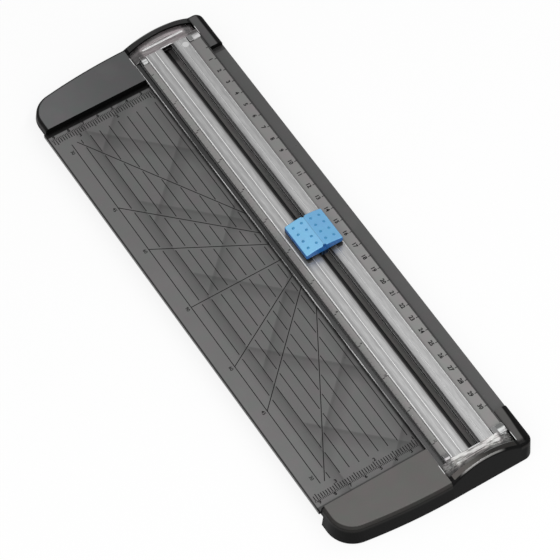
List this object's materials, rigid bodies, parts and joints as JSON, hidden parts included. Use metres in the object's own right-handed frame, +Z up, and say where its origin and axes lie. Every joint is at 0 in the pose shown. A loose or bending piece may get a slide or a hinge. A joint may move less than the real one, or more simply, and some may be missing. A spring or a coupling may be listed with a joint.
{
  "type": "paper trimmer",
  "caption": "Flat desk paper trimmer: smoke plastic table, arched end blocks, a sprung clear rail with silver runners, and a sliding press-down head that holds a rolling blade.",
  "frame": {"origin": "on the ground, under the middle of the whole trimmer", "axes": "+X across the table towards the rail, +Y along the cut towards the far end, +Z up"},
  "size_m": [0.124, 0.3628, 0.0244],
  "materials": {
    "smoke_plastic": "semi-gloss smoke grey moulding, slightly see-through",
    "end_plastic": "satin smoke grey moulding",
    "mat_plastic": "matt dark strip",
    "steel": "plain steel",
    "spring_steel": "drawn wire",
    "blade_steel": "ground tool steel",
    "foot_rubber": "matt black rubber",
    "clear_plastic": "clear moulding",
    "runner_aluminium": "satin, fine lengthwise lines",
    "scale_film": "light grey printed strip",
    "shoe_plastic": "matt black slide plastic",
    "blue_plastic": "satin sky blue moulding",
    "bush_plastic": "natural slide plastic"
  },
  "bodies": {
    "base": {"base_plate": "smoke_plastic", "far_end_block": "end_plastic", "near_end_block": "end_plastic", "cutting_mat": "mat_plastic", "guide_pins": "steel", "far_lift_spring": "spring_steel", "near_lift_spring": "spring_steel", "block_screws": "steel", "rubber_feet": "foot_rubber"},
    "rail": {"left_rail": "clear_plastic", "right_rail": "clear_plastic", "left_runner": "runner_aluminium", "right_runner": "runner_aluminium", "inch_scale_strip": "scale_film", "metric_scale_strip": "scale_film", "far_end_cap": "clear_plastic", "near_end_cap": "clear_plastic", "cap_screws": "steel"},
    "carriage": {"carriage_shoe": "shoe_plastic", "left_press_spring": "spring_steel", "right_press_spring": "spring_steel"},
    "press_head": {"left_housing": "blue_plastic", "right_housing": "blue_plastic", "blade_axle": "steel"},
    "blade": {"cutter_blade": "blade_steel", "blade_bush": "bush_plastic"}
  },
  "joints": [
    {"name": "rail_clamp", "type": "slide", "parent": "base", "child": "rail", "axis": [0, 0, 1], "range_m": [-0.0008, 0], "stiffness_N_per_m": 800, "springref_m": 0.004, "deforming": ["far_lift_spring", "near_lift_spring"]},
    {"name": "carriage_slide", "type": "slide", "parent": "rail", "child": "carriage", "axis": [0, 1, 0], "range_m": [-0.1524, 0.1524]},
    {"name": "head_press", "type": "slide", "parent": "carriage", "child": "press_head", "axis": [0, 0, 1], "range_m": [-0.0017, 0], "stiffness_N_per_m": 600, "springref_m": 0.003, "deforming": ["left_press_spring", "right_press_spring"]},
    {"name": "blade_spin", "type": "hinge", "parent": "press_head", "child": "blade", "pos_m": [0.031, 0, 0.0176], "axis": [1, 0, 0], "continuous": true}
  ]
}
